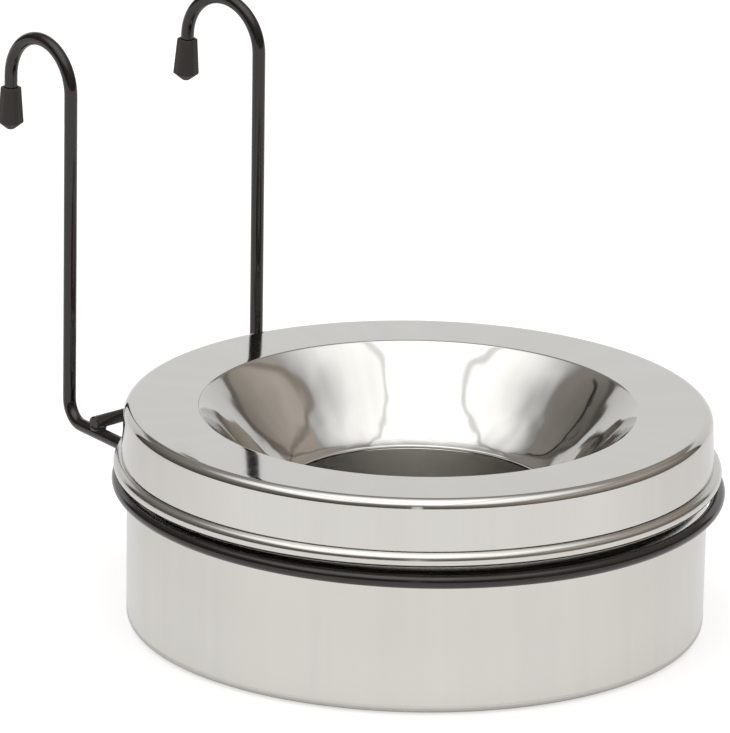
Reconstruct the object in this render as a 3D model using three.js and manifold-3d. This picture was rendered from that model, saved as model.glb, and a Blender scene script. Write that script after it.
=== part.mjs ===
// Water bowl with a hanging wire holder: a stainless steel bowl under a lid with a sunk funnel,
// carried by its rolled rim on the ring of a coated wire frame that hooks over a rail.
// Millimetres, +Z up. The origin is on the bowl's axis, at the underside of its base.
// The holder's arms, posts and hooks are on the -X side, and left is -Y.
import * as THREE from 'three';
import { mergeVertices } from 'three/addons/utils/BufferGeometryUtils.js';
import Module from 'manifold-3d';

// Bowl, drawn from one round of sheet
const bowlRadius = 100; // outside of the wall at its top
const bowlDraft = 0.45; // how much smaller the wall's radius is at the base
const bowlHeight = 59; // from the base to the top of the rolled rim
const bowlSheet = 0.7;
const baseFillet = 3.8; // outside radius between base and wall
const rimRollRadius = 2.7; // outside radius of the rolled rim
const rimRollGap = 0.8; // left between the wall and the free edge of the roll

// Lid, pressed from one round of sheet
const lidSheet = 0.7;
const lidHeight = 17.7; // from the step that rests on the rim to the flat top
const rimShow = 2.7; // how far the rim roll stands out past the foot of the skirt
const skirtFlare = 0.6; // how much wider in radius the skirt is at its foot
const shoulderRadius = 3.5;
const stepCornerRadius = 0.9; // at the foot of the skirt
const collarLength = 7; // below the step, inside the bowl's mouth
const collarClearance = 0.5; // all round, to the inside of the bowl
const lidSeatGap = 0.3; // between the step and the top of the rim
const flatTopWidth = 21.9; // of the flat ring between the shoulder and the funnel
const funnelRimBend = 1.3; // radius of the bend from the flat top into the funnel
const funnelDepth = 30.4; // from the flat top to the lowest point of the hem
const funnelHoleRadius = 45.4; // clear radius inside the hem
const hemRadius = 0.9; // of the folded edge round the hole

// Wire frame and crossbar
const wireDiameter = 4.6; // with its coating
const ringClearance = 1; // between the ring and the bowl's wall, all round if the two were centred
const ringShift = 0.6; // the bowl sits this far back in the ring
const rimSeatGap = 0.35; // between the rim roll and the back of the ring
const ringDroop = THREE.MathUtils.degToRad(0.65); // the front of the ring hangs lower than its back
const armBendRadius = 9; // where an arm joins the ring
const armSpread = THREE.MathUtils.degToRad(8.5); // each arm splays outwards towards the bowl
const armDrop = 1.55; // the arms lie this much lower than the back of the ring
const postStandoff = 27.3; // from the ring's circle back to the posts
const postSpacing = 88.6;
const postBendRadius = 8;
const postLean = THREE.MathUtils.degToRad(0.55); // away from the bowl
const hookRiseLeft = 136.15; // from the arms' centre line to the top of the left hook
const hookRiseRight = 135.2;
const hookRadiusLeft = 16.7; // of the wire's centre line
const hookRadiusRight = 17.15;
const hookBendLeft = THREE.MathUtils.degToRad(179.6);
const hookBendRight = THREE.MathUtils.degToRad(177.6); // this tip splays a little away from its post
const hookToeInLeft = THREE.MathUtils.degToRad(3.2); // each tip is turned towards the other
const hookToeInRight = THREE.MathUtils.degToRad(4.6);
const hookLegLeft = 4.35; // straight wire between the bend and the cap
const hookLegRight = 1.9;
const crossbarStandoff = 9.1; // from the ring's circle back to the crossbar
const crossbarOverhang = 0.1; // past the outside of each arm
const crossbarSink = 0.45; // how far welding has pressed the crossbar down into the arms
const weldGap = 0.3; // between a weld and the wires that it joins, and between those wires
const weldRadius = 3.1; // of the lump round each crossing

// Moulded cap on each hook's tip, a tapered hexagon with a blind round socket
const capLength = 15.2;
const capChamferLength = 2.6;
const capWall = 0.75; // in the middle of each face, at the mouth
const capFlare = 2; // how much wider the cap is across corners above its chamfer
const capTipWidth = 3; // across corners of the flat tip
const capSocketDepth = 11;
const capClearance = 0.3; // between the wire and its socket
const capTurn = THREE.MathUtils.degToRad(46.5); // which way a corner of the hexagon points

// Smoothness
const latheSides = 64;
const wireSides = 12;
const ringSteps = 30; // round each half of the ring
const wireBendSteps = 6; // in each tight bend
const hookSteps = 14;

const wireRadius = wireDiameter / 2;
const up = new THREE.Vector3(0, 0, 1);

const steel = new THREE.MeshStandardMaterial({ color: 0xcfccc7, roughness: 0.25, metalness: 1 });
const blackCoating = new THREE.MeshStandardMaterial({ color: 0x2f2c2a, roughness: 0.45, metalness: 0 });
const blackRubber = new THREE.MeshStandardMaterial({ color: 0x3a3733, roughness: 0.6, metalness: 0 });

// Points along an arc, angles in degrees
function arc(centreX, centreY, radius, fromAngle, toAngle, steps) {
  const points = [];
  for (let step = 0; step <= steps; step += 1) {
    const angle = THREE.MathUtils.degToRad(fromAngle + ((toAngle - fromAngle) * step) / steps);
    points.push(new THREE.Vector2(centreX + radius * Math.cos(angle), centreY + radius * Math.sin(angle)));
  }
  return points;
}

// A shell turned about the Z axis, from a profile of radius and height, with a corner towards +X
function turned(profile, sides = latheSides) {
  const geometry = new THREE.LatheGeometry(profile, sides);
  return geometry.rotateX(Math.PI / 2).rotateZ(Math.PI / 2);
}

function named(name, geometry, material) {
  const mesh = new THREE.Mesh(geometry, material);
  mesh.name = name;
  return mesh;
}

// Booleans on closed geometries
const wasm = await Module();
wasm.setup();

function solid(geometry) {
  const bare = geometry.clone();
  bare.deleteAttribute('normal');
  bare.deleteAttribute('uv');
  const merged = mergeVertices(bare, 1e-5);
  const vertProperties = new Float32Array(merged.attributes.position.array);
  const triVerts = new Uint32Array(merged.index.array);
  return new wasm.Manifold(new wasm.Mesh({ numProp: 3, vertProperties, triVerts }));
}

function geometryOf(manifold) {
  const { vertProperties, triVerts } = manifold.getMesh();
  const geometry = new THREE.BufferGeometry();
  geometry.setAttribute('position', new THREE.BufferAttribute(new Float32Array(vertProperties), 3));
  geometry.setIndex(new THREE.BufferAttribute(new Uint32Array(triVerts), 1));
  geometry.computeVertexNormals();
  return geometry;
}

// Bowl: base and wall outside, up round the rolled rim, and back down inside
const wallTopInside = bowlRadius - bowlSheet;
const rimCentreRadius = wallTopInside + rimRollRadius;
const rimCentreZ = bowlHeight - rimRollRadius;

function bowlProfile() {
  const footRadius = bowlRadius - bowlDraft;
  const filletX = footRadius - baseFillet;
  const rollInside = rimRollRadius - bowlSheet;
  // The roll runs over the top and down to where its edge is rimRollGap away from the wall
  const edgeReach = bowlRadius + rimRollGap - rimCentreRadius;
  const edgeAngle = -THREE.MathUtils.radToDeg(Math.acos(edgeReach / rimRollRadius));
  return [
    new THREE.Vector2(0, 0),
    ...arc(filletX, baseFillet, baseFillet, -90, 0, 5),
    ...arc(rimCentreRadius, rimCentreZ, rollInside, 180, edgeAngle, 9),
    ...arc(rimCentreRadius, rimCentreZ, rimRollRadius, edgeAngle, 180, 13),
    ...arc(filletX, baseFillet, baseFillet - bowlSheet, 0, -90, 4),
    new THREE.Vector2(0, bowlSheet),
  ];
}

// Lid: over the outside from the hem to the collar, and back along the inside
const lidSeatZ = bowlHeight + lidSeatGap;
const lidTopZ = lidSeatZ + lidHeight;

function lidProfile() {
  const footX = rimCentreRadius + rimRollRadius - rimShow;
  const shoulderX = footX - skirtFlare - shoulderRadius;
  const shoulderZ = lidTopZ - shoulderRadius;
  const hemX = funnelHoleRadius + hemRadius;
  const hemZ = lidTopZ - funnelDepth + hemRadius;
  // The funnel's straight wall runs from the bend at its rim to the hem, and is tangent to both
  const bendX = shoulderX - flatTopWidth;
  const bendZ = lidTopZ - funnelRimBend;
  const between = Math.hypot(bendX - hemX, bendZ - hemZ);
  const leanOut = Math.atan2(bendZ - hemZ, bendX - hemX);
  const slope = leanOut + Math.asin((funnelRimBend - hemRadius) / between);
  const wallNormal = THREE.MathUtils.radToDeg(slope) + 90;
  const hemJoin = THREE.MathUtils.radToDeg(Math.acos((hemRadius - lidSheet) / hemRadius));
  const stepZ = lidSeatZ + lidSheet;
  const cornerX = footX - stepCornerRadius;
  const cornerZ = lidSeatZ + stepCornerRadius;
  const collarX = wallTopInside - collarClearance;
  const collarFootZ = lidSeatZ - collarLength;
  const outside = [
    ...arc(hemX, hemZ, hemRadius, wallNormal + 360 - hemJoin, wallNormal, 8),
    ...arc(bendX, bendZ, funnelRimBend, wallNormal, 90, 3),
    ...arc(shoulderX, shoulderZ, shoulderRadius, 90, 0, 6),
    ...arc(cornerX, cornerZ, stepCornerRadius, 0, -90, 3),
    new THREE.Vector2(collarX, lidSeatZ),
    new THREE.Vector2(collarX, collarFootZ),
  ];
  const inside = [
    new THREE.Vector2(collarX - lidSheet, collarFootZ),
    new THREE.Vector2(collarX - lidSheet, stepZ),
    ...arc(cornerX, cornerZ, stepCornerRadius - lidSheet, -90, 0, 1),
    ...arc(shoulderX, shoulderZ, shoulderRadius - lidSheet, 0, 90, 4),
    ...arc(bendX, bendZ, funnelRimBend - lidSheet, 90, wallNormal, 2),
    outside[0],
  ];
  return [...outside, ...inside].reverse();
}

// Wire centre line, from the left hook's tip round the ring to the right hook's tip
const ringRadius = bowlRadius + ringClearance + wireRadius;
const ringForward = new THREE.Vector3(Math.cos(ringDroop), 0, -Math.sin(ringDroop));
const ringNormal = new THREE.Vector3(Math.sin(ringDroop), 0, Math.cos(ringDroop));

// The bend between an arm and the ring, seen from above on the right-hand side, from the ring's centre
const postX = -(ringRadius + postStandoff);
const armAlong = new THREE.Vector2(Math.cos(armSpread), Math.sin(armSpread));
const armSide = new THREE.Vector2(-armAlong.y, armAlong.x);
const armStart = new THREE.Vector2(postX, postSpacing / 2);
const bendStart = armStart.clone().addScaledVector(armSide, armBendRadius);
const bendReach = ringRadius + armBendRadius;
const towards = bendStart.dot(armAlong);
const armRun = -towards - Math.sqrt(towards ** 2 - bendStart.lengthSq() + bendReach ** 2);
const armBendCentre = bendStart.clone().addScaledVector(armAlong, armRun);
const ringEndAngle = armBendCentre.angle();
const armBendAngle = ringEndAngle - Math.PI / 2 - armSpread;

// The rim roll rests on the back ends of the ring, which sets how high the whole frame lies
const ringBackX = ringRadius * Math.cos(ringEndAngle);
const ringBackY = ringRadius * Math.sin(ringEndAngle);
const seatReach = rimRollRadius + wireRadius + rimSeatGap;
const seatOffset = Math.hypot(ringShift + ringBackX, ringBackY) - rimCentreRadius;
const ringBackZ = rimCentreZ - Math.sqrt(seatReach ** 2 - seatOffset ** 2);
const ringCentre = new THREE.Vector3(ringShift, 0, ringBackZ + ringBackX * Math.sin(ringDroop));
const armZ = ringBackZ - armDrop;

// A point of the ring's tilted plane, from its place seen from above
function onRingPlane(x, y) {
  return ringCentre.clone().addScaledVector(ringForward, x).setY(y);
}

// A point at the arms' level
function atArmLevel(x, y) {
  return new THREE.Vector3(ringShift + x, y, armZ);
}

// Eases from 0 to 1
function smooth(t) {
  return t * t * (3 - 2 * t);
}

// Points that swing round a centre, from an arm that starts there
function swing(centre, arm, axis, angle, steps) {
  const points = [];
  for (let step = 0; step <= steps; step += 1) {
    const turnedArm = arm.clone().applyAxisAngle(axis, (angle * step) / steps);
    points.push(turnedArm.add(centre));
  }
  return points;
}

// The round bend that replaces a corner between two straight runs
function roundedCorner(before, corner, after, radius, steps) {
  const arriving = corner.clone().sub(before).normalize();
  const leaving = after.clone().sub(corner).normalize();
  const turn = arriving.angleTo(leaving);
  const axis = arriving.clone().cross(leaving).normalize();
  const start = corner.clone().addScaledVector(arriving, -radius * Math.tan(turn / 2));
  const inward = axis.clone().cross(arriving);
  const centre = start.clone().addScaledVector(inward, radius);
  return swing(centre, start.clone().sub(centre), axis, turn, steps);
}

// The post and hook on one side: side is +1 on the right and -1 on the left
function hookOf(side, hookRise, hookRadius, hookBend, hookToeIn) {
  const along = new THREE.Vector3(-Math.sin(postLean), 0, Math.cos(postLean));
  const level = new THREE.Vector3(-Math.cos(hookToeIn), -side * Math.sin(hookToeIn), 0);
  const across = level.clone().addScaledVector(along, -level.dot(along)).normalize();
  const axis = across.clone().negate().cross(along);
  const foot = atArmLevel(postX, (side * postSpacing) / 2);
  const crown = hookRadius * (Math.hypot(along.z, across.z) + across.z);
  const postLength = (hookRise - wireRadius - crown) / along.z;
  const top = foot.clone().addScaledVector(along, postLength);
  const centre = top.clone().addScaledVector(across, hookRadius);
  const bend = swing(centre, across.clone().multiplyScalar(-hookRadius), axis, hookBend, hookSteps);
  const legUp = along.clone().applyAxisAngle(axis, hookBend - Math.PI);
  return { legUp, foot, top, bend };
}

const hooks = {
  left: hookOf(-1, hookRiseLeft, hookRadiusLeft, hookBendLeft, hookToeInLeft),
  right: hookOf(1, hookRiseRight, hookRadiusRight, hookBendRight, hookToeInRight),
};
const hookLegs = { left: hookLegLeft, right: hookLegRight };

// Where the cap starts on a hook's straight leg, and which way the leg points
function capSeat(sideName) {
  const { legUp, bend } = hooks[sideName];
  const mouth = bend[bend.length - 1].clone().addScaledVector(legUp, -hookLegs[sideName]);
  return { mouth, legUp };
}

function halfOfFrame(sideName) {
  const side = sideName === 'right' ? 1 : -1;
  const { foot, top, bend } = hooks[sideName];
  const ringArm = ringForward.clone().multiplyScalar(ringRadius);
  const ring = swing(ringCentre, ringArm, ringNormal, side * ringEndAngle, ringSteps);
  const bendCentre = onRingPlane(armBendCentre.x, side * armBendCentre.y);
  const ringEnd = ring[ring.length - 1];
  const toRingEnd = ringEnd.clone().sub(bendCentre);
  const armBend = swing(bendCentre, toRingEnd, ringNormal, -side * armBendAngle, wireBendSteps).slice(1);
  armBend.forEach((point, index) => {
    point.setZ(THREE.MathUtils.lerp(point.z, armZ, smooth((index + 1) / wireBendSteps)));
  });
  const armEnd = armBend[armBend.length - 1];
  const postBend = roundedCorner(armEnd, foot, top, postBendRadius, wireBendSteps);
  const { mouth, legUp } = capSeat(sideName);
  const socketEnd = mouth.clone().addScaledVector(legUp, -(capSocketDepth - capClearance));
  return [...ring, ...armBend, ...postBend, ...bend, socketEnd];
}

// A path through given stations, each section square to the bisector of its two runs
class StationPath extends THREE.Curve {
  constructor(stations) {
    super();
    this.stations = stations;
  }

  getPoint(t, target = new THREE.Vector3()) {
    const place = t * (this.stations.length - 1);
    const before = Math.min(Math.floor(place + 1e-9), this.stations.length - 2);
    return target.lerpVectors(this.stations[before], this.stations[before + 1], place - before);
  }

  getPointAt(t, target) {
    return this.getPoint(t, target);
  }

  getSpacedPoints(divisions) {
    return this.getPoints(divisions);
  }

  getTangentAt(t, target = new THREE.Vector3()) {
    const last = this.stations.length - 1;
    const index = Math.round(t * last);
    const here = this.stations[index];
    const arriving = here.clone().sub(this.stations[Math.max(index - 1, 0)]).normalize();
    const leaving = this.stations[Math.min(index + 1, last)].clone().sub(here).normalize();
    return target.copy(arriving).add(leaving).normalize();
  }
}

// Round wire along a path of stations
function wireAlong(stations, sides = wireSides, radius = wireRadius) {
  const rim = [];
  for (let side = 0; side < sides; side += 1) {
    const angle = (2 * Math.PI * (side + 0.5)) / sides;
    rim.push(new THREE.Vector2(radius * Math.cos(angle), radius * Math.sin(angle)));
  }
  return new THREE.ExtrudeGeometry(new THREE.Shape(rim), {
    steps: stations.length - 1,
    bevelEnabled: false,
    extrudePath: new StationPath(stations),
  });
}

function wireFrame() {
  const left = halfOfFrame('left').slice(1).reverse();
  const right = halfOfFrame('right');
  return wireAlong([...left, ...right]);
}

// Crossbar, square across the tops of both arms
const crossbarX = -(ringRadius + crossbarStandoff);
const armAtCrossbarY = postSpacing / 2 + (crossbarX - postX) * Math.tan(armSpread);
const crossbarLift = wireDiameter - crossbarSink;
const crossbarHalf = armAtCrossbarY + wireRadius / Math.cos(armSpread) + crossbarOverhang;

// The room that a straight wire needs round a crossing, with the gap to what lies against it
function roomAlong(middle, direction) {
  const reach = direction.clone().setLength(3 * weldRadius);
  const ends = [middle.clone().sub(reach), middle.clone().add(reach)];
  return solid(wireAlong(ends, wireSides, wireRadius + weldGap));
}

function armRoom(side) {
  const crossing = atArmLevel(crossbarX, side * armAtCrossbarY);
  return roomAlong(crossing, new THREE.Vector3(armAlong.x, side * armAlong.y, 0));
}

function crossbarPoint(y) {
  return atArmLevel(crossbarX, y).addScaledVector(up, crossbarLift);
}

function crossbar() {
  const ends = [crossbarPoint(-crossbarHalf), crossbarPoint(crossbarHalf)];
  return geometryOf(solid(wireAlong(ends)).subtract(armRoom(-1)).subtract(armRoom(1)));
}

// A weld fills the corners round a crossing, between an arm below and the crossbar above
function crossbarWeld(side) {
  const middle = atArmLevel(crossbarX, side * armAtCrossbarY).addScaledVector(up, crossbarLift / 2);
  const lump = new THREE.SphereGeometry(weldRadius, 16, 10).translate(middle.x, middle.y, middle.z);
  const barRoom = roomAlong(crossbarPoint(side * armAtCrossbarY), new THREE.Vector3(0, 1, 0));
  return geometryOf(solid(lump).subtract(armRoom(side)).subtract(barRoom));
}

// Cap in its own frame: its mouth at the origin, its tip below
const socketRadius = wireRadius + capClearance;
const capTopWidth = (2 * (socketRadius + capWall)) / Math.cos(Math.PI / 6);

function capGeometry() {
  const profile = [
    new THREE.Vector2(0, -capLength),
    new THREE.Vector2(capTipWidth / 2, -capLength),
    new THREE.Vector2((capTopWidth + capFlare) / 2, -(capLength - capChamferLength)),
    new THREE.Vector2(capTopWidth / 2, 0),
    new THREE.Vector2(0, 0),
  ];
  const body = turned(profile, 6);
  const socket = new THREE.CylinderGeometry(socketRadius, socketRadius, 2 * capSocketDepth, 16);
  socket.rotateX(Math.PI / 2);
  return geometryOf(solid(body).subtract(solid(socket)));
}

function hookCap(sideName) {
  const { mouth, legUp } = capSeat(sideName);
  const cap = named(`hook_cap_${sideName}`, capGeometry(), blackRubber);
  cap.position.copy(mouth);
  cap.quaternion.setFromUnitVectors(up, legUp);
  cap.rotateZ(capTurn);
  return cap;
}

const holder = new THREE.Group();
holder.add(
  named('wire_frame', wireFrame(), blackCoating),
  named('crossbar', crossbar(), blackCoating),
  named('crossbar_weld_left', crossbarWeld(-1), blackCoating),
  named('crossbar_weld_right', crossbarWeld(1), blackCoating),
  hookCap('left'),
  hookCap('right'),
);

const bowlAndLid = new THREE.Group();
bowlAndLid.add(
  named('water_bowl', turned(bowlProfile()), steel),
  named('funnel_lid', turned(lidProfile()), steel),
);

const waterBowlWithHolder = new THREE.Group();
waterBowlWithHolder.add(holder, bowlAndLid);

export default waterBowlWithHolder;
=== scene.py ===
# %% [markdown]
# # A water bowl that hangs in a wire holder
#
# The object is a steel bowl under a lid with a sunk funnel. The rolled rim of the bowl rests on
# the ring of a black coated wire frame, and two hooks hang that frame over a rail or a crate wall.
# The measured solids come in first. They say where each piece lies and which body carries it, and
# nothing below moves them. Everything is in metres, so sizes are written in millimetres and
# multiplied by MM.

# %% Load the measured solids
import math

import bmesh
import bpy
from mathutils import Matrix, Vector, noise


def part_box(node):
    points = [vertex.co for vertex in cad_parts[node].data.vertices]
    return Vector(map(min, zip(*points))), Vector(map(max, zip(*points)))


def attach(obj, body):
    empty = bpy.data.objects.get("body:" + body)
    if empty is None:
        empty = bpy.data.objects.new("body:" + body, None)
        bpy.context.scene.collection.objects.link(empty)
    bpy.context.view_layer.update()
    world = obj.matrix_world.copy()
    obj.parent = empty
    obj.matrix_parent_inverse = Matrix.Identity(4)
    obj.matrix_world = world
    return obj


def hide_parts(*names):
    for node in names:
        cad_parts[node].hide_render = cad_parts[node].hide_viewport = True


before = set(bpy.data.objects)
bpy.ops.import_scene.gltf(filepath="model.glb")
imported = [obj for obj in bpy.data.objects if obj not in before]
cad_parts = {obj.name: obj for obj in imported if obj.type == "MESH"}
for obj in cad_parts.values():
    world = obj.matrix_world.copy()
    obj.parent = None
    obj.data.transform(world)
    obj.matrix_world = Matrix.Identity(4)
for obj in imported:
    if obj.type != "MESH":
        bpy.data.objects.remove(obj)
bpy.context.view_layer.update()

MM = 0.001
for node_name in sorted(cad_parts):
    low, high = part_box(node_name)
    print(node_name, "mm", [round(v / MM, 1) for v in (*low, *high)])


def in_scene(name, data):
    """A new object with its data, linked to the scene."""
    obj = bpy.data.objects.new(name, data)
    bpy.context.scene.collection.objects.link(obj)
    return obj


# %% [markdown]
# ## The camera
#
# The photograph was taken with a long lens from well back, so circles look like true ellipses and
# nothing grows towards the viewer. The ellipses of the lid, the rim and the base give the angle:
# about 18 degrees above the horizon, with a slight roll of the camera. A long lens far away repeats
# that, and needs no shift.

# %% Camera
PHOTO_WIDTH = 730
PHOTO_HEIGHT = 733
FOCAL_PIXELS = 12000
PIXEL_SIZE = 0.3455 * MM  # what one pixel covers at the bowl
AZIMUTH = math.radians(46.5)
ELEVATION = math.radians(17.86)
ROLL = math.radians(1.106)
SIDEWAYS = -17.06 * MM  # from the object's origin to the centre of the picture
UPWARDS = 87.3 * MM

level_right = Vector((math.cos(AZIMUTH), math.sin(AZIMUTH), 0))
level_away = Vector((-math.sin(AZIMUTH), math.cos(AZIMUTH), 0))
forward = level_away * math.cos(ELEVATION) - Vector((0, 0, math.sin(ELEVATION)))
upright = level_right.cross(forward)
picture_right = level_right * math.cos(ROLL) + upright * math.sin(ROLL)
picture_up = upright * math.cos(ROLL) - level_right * math.sin(ROLL)
distance = FOCAL_PIXELS * PIXEL_SIZE

camera_data = bpy.data.cameras.new("camera")
camera_data.lens = FOCAL_PIXELS * camera_data.sensor_width / max(PHOTO_WIDTH, PHOTO_HEIGHT)
camera_data.clip_end = 100  # metres, well past the floor
camera = in_scene("camera", camera_data)
camera.matrix_world = Matrix.Translation(
    -forward * distance + picture_right * SIDEWAYS + picture_up * UPWARDS
) @ Matrix((picture_right, picture_up, -forward)).transposed().to_4x4()
bpy.context.scene.camera = camera
bpy.context.scene.view_settings.view_transform = "Standard"
print("camera", round(camera_data.lens, 1), "mm lens,", round(distance, 2), "m away")

# %% [markdown]
# ## Helpers for materials
#
# Colours are written as a paint chart gives them, in sRGB hex, and a shader wants them linear. One
# small function adds a node: it sets or links its inputs, fills a ramp's stops and gives back its
# outputs. Roughness and relief are noise in every finish here, so one more function adds both.

# %% Material helpers
NOISE_LOW, NOISE_HIGH = 0.3, 0.7  # noise seldom leaves this range


def linear(hex_colour):
    """The linear red, green, blue and alpha of a colour in sRGB hex."""
    channels = [int(hex_colour[i : i + 2], 16) / 255 for i in (1, 3, 5)]
    return [c / 12.92 if c <= 0.04045 else ((c + 0.055) / 1.055) ** 2.4 for c in channels] + [1]


def add_node(tree, kind, settings=None, values=None, stops=()):
    """Adds a node. A word as settings is its operation, and a socket as value is linked."""
    node = tree.nodes.new(kind)
    if isinstance(settings, str):
        settings = {"operation": settings}
    for name, setting in (settings or {}).items():
        setattr(node, name, setting)
    for name, value in (values or {}).items():
        if isinstance(value, bpy.types.NodeSocket):
            tree.links.new(value, node.inputs[name])
        else:
            node.inputs[name].default_value = value
    for number, (place, colour) in enumerate(stops):
        elements = node.color_ramp.elements
        element = elements[number] if number < 2 else elements.new(place)
        element.position = place
        element.color = colour
    return node.outputs


def new_material(name):
    material = bpy.data.materials.new(name)
    material.use_nodes = True
    tree = material.node_tree
    return material, tree, tree.nodes["Principled BSDF"]


def gloss_and_relief(tree, shader, gloss, roughness_range, relief, depth):
    """Turns one noise into roughness, and another into relief of the given depth."""
    smoothest, roughest = roughness_range
    rough = add_node(
        tree,
        "ShaderNodeMapRange",
        values={
            "Value": gloss,
            "From Min": NOISE_LOW,
            "From Max": NOISE_HIGH,
            "To Min": smoothest,
            "To Max": roughest,
        },
    )["Result"]
    tree.links.new(rough, shader.inputs["Roughness"])
    bump = add_node(
        tree, "ShaderNodeBump", values={"Height": relief, "Strength": 1.0, "Distance": depth}
    )["Normal"]
    tree.links.new(bump, shader.inputs["Normal"])


print("mid grey is", round(linear("#808080")[0], 3), "in linear light")

# %% [markdown]
# ## Polished and satin stainless steel
#
# Both shells are pressed from sheet of 18/8 stainless steel, about 0.7 mm thick. The lid was buffed
# after pressing: it mirrors, with a trace of blur and of radial polishing lines. The bowl's wall
# was left with its drawing marks, fine lines that run from base to rim, so its mirror is softer.
# Its inside is painted paler, as painted light for what falls in through the hole. Steel is a
# metal, so its colour sits in its reflection: a slightly warm light grey, and at a glancing edge it
# turns white by itself.
#
# The lines are noise that is looked up by the direction from the axis and a little by the height.
# That makes them fine round the axis and long along the profile, as the press pulls them.

# %% Stainless steel
BOWL_RADIUS = 100 * MM
DRAW_MARK = 0.9 * MM  # spacing of the marks at the wall. Real ones are too fine to show
MARK_LENGTH = 18 * MM
STREAK = 13 * MM  # width of paler and darker streaks
PAINTED_INSIDE_LIGHT = "#ebe9e5"  # inside the bowl, painted paler as painted light that falls in through the hole
INSIDE = BOWL_RADIUS - 0.58 * MM  # between the two faces of the bowl's wall


def steel(name, base, cloud, roughness_range, mark_depth, painted_light_within=0.0):
    """Sheet steel with its marks, painted paler within a radius round the axis as painted light."""
    material, tree, shader = new_material(name)
    place = add_node(tree, "ShaderNodeTexCoord")["Object"]
    flat = add_node(tree, "ShaderNodeVectorMath", "MULTIPLY", {0: place, 1: (1, 1, 0)})[0]
    around = add_node(tree, "ShaderNodeVectorMath", "NORMALIZE", {0: flat})[0]
    stretch = DRAW_MARK / (BOWL_RADIUS * MARK_LENGTH)
    rise = add_node(tree, "ShaderNodeVectorMath", "SCALE", {0: place, "Scale": stretch})[0]
    along = add_node(tree, "ShaderNodeVectorMath", "ADD", {0: around, 1: rise})[0]
    marks = add_node(
        tree,
        "ShaderNodeTexNoise",
        values={"Vector": along, "Scale": BOWL_RADIUS / DRAW_MARK, "Detail": 3.0, "Roughness": 0.6},
    )["Fac"]
    streaks = add_node(
        tree,
        "ShaderNodeTexNoise",
        values={"Vector": along, "Scale": BOWL_RADIUS / STREAK, "Detail": 4.0, "Roughness": 0.65},
    )["Fac"]
    colour = add_node(
        tree,
        "ShaderNodeValToRGB",
        values={"Fac": streaks},
        stops=[(NOISE_LOW, linear(base)), (NOISE_HIGH, linear(cloud))],
    )["Color"]
    # Within that radius the colour is painted paler: painted light, for what falls in through the
    # hole
    radius = add_node(tree, "ShaderNodeVectorMath", "LENGTH", {0: flat})["Value"]
    within = add_node(tree, "ShaderNodeMath", "LESS_THAN", {0: radius, 1: painted_light_within})[0]
    finished = add_node(
        tree, "ShaderNodeMix", {"data_type": "RGBA"}, {0: within, 6: colour, 7: linear(PAINTED_INSIDE_LIGHT)}
    )[2]
    tree.links.new(finished, shader.inputs["Base Color"])
    gloss_and_relief(tree, shader, marks, roughness_range, marks, mark_depth)
    shader.inputs["Metallic"].default_value = 1.0
    return material


polished_steel = steel("stainless_steel_buffed", "#d2d1cd", "#cfcdc9", (0.05, 0.09), 0.0006 * MM)
satin_steel = steel(
    "stainless_steel_drawn", "#d3d1cc", "#cecdc8", (0.15, 0.19), 0.001 * MM, painted_light_within=INSIDE
)
print("steel", polished_steel.name, satin_steel.name)

# %% [markdown]
# ## Black coating and rubber
#
# The wire was dipped in black plastic after bending and welding. The coat flows, so it is smooth
# and rounds every edge, with a soft sheen and a faint orange peel. The end caps are moulded rubber:
# the same black, but matte, so they catch no bright line and look a little greyer.

# %% Black coating and rubber
PATCH = 9 * MM  # size of the slightly paler and duller patches
BLACK_IOR = 1.55  # as PVC has it, a little over rubber's 1.52


def black_skin(name, base, worn, roughness_range, grain, grain_depth):
    """Black plastic or rubber, with a fine grain and faint patches."""
    material, tree, shader = new_material(name)
    place = add_node(tree, "ShaderNodeTexCoord")["Object"]
    peel = add_node(
        tree, "ShaderNodeTexNoise", values={"Vector": place, "Scale": 1 / grain, "Detail": 2.0}
    )["Fac"]
    patches = add_node(
        tree, "ShaderNodeTexNoise", values={"Vector": place, "Scale": 1 / PATCH, "Detail": 3.0}
    )["Fac"]
    colour = add_node(
        tree,
        "ShaderNodeValToRGB",
        values={"Fac": patches},
        stops=[(0.35, linear(base)), (NOISE_HIGH, linear(worn))],
    )["Color"]
    tree.links.new(colour, shader.inputs["Base Color"])
    gloss_and_relief(tree, shader, patches, roughness_range, peel, grain_depth)
    shader.inputs["IOR"].default_value = BLACK_IOR
    return material


coating = black_skin(
    "plastic_coating_dipped", "#1d1715", "#261e1b", (0.09, 0.15), 1.1 * MM, 0.004 * MM
)
# The mould leaves a finer grain on rubber, which is drawn coarser here so that it shows
rubber = black_skin("rubber_moulded", "#393431", "#423d39", (0.6, 0.75), 0.5 * MM, 0.02 * MM)
print("black", coating.name, rubber.name)

# %% [markdown]
# ## A profile and its supports
#
# A pressed shell is the same all round, so it is drawn once as a profile: distance from the axis,
# and height. Arcs join the straight runs. Smooth shading bends the light near a join if a long face
# starts right there, so each straight run gets a short face at both ends and is cut into even steps
# between.

# %% Profile helpers
LEFT_WHOLE = 0.7  # a run up to this share of the longest step is not cut
DOUBLED = 1e-9  # two points nearer than this are one


def arc(centre_x, centre_z, radius, from_angle, to_angle, steps):
    """Points on an arc, angles in degrees."""
    points = []
    for step in range(steps + 1):
        angle = math.radians(from_angle + (to_angle - from_angle) * step / steps)
        points.append(
            Vector((centre_x + radius * math.cos(angle), 0, centre_z + radius * math.sin(angle)))
        )
    return points


def with_supports(points, longest, support=0.15 * MM):
    """Cuts long runs into steps, with a short one at both ends."""
    finished = [points[0]]
    for start, end in zip(points, points[1:]):
        run = end - start
        if run.length > LEFT_WHOLE * longest:
            inner_start = start + run.normalized() * support
            inner_end = end - run.normalized() * support
            steps = max(1, math.ceil((inner_end - inner_start).length / longest))
            finished += [inner_start.lerp(inner_end, step / steps) for step in range(steps + 1)]
        if run.length > DOUBLED:
            finished.append(end)
    return finished


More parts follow.
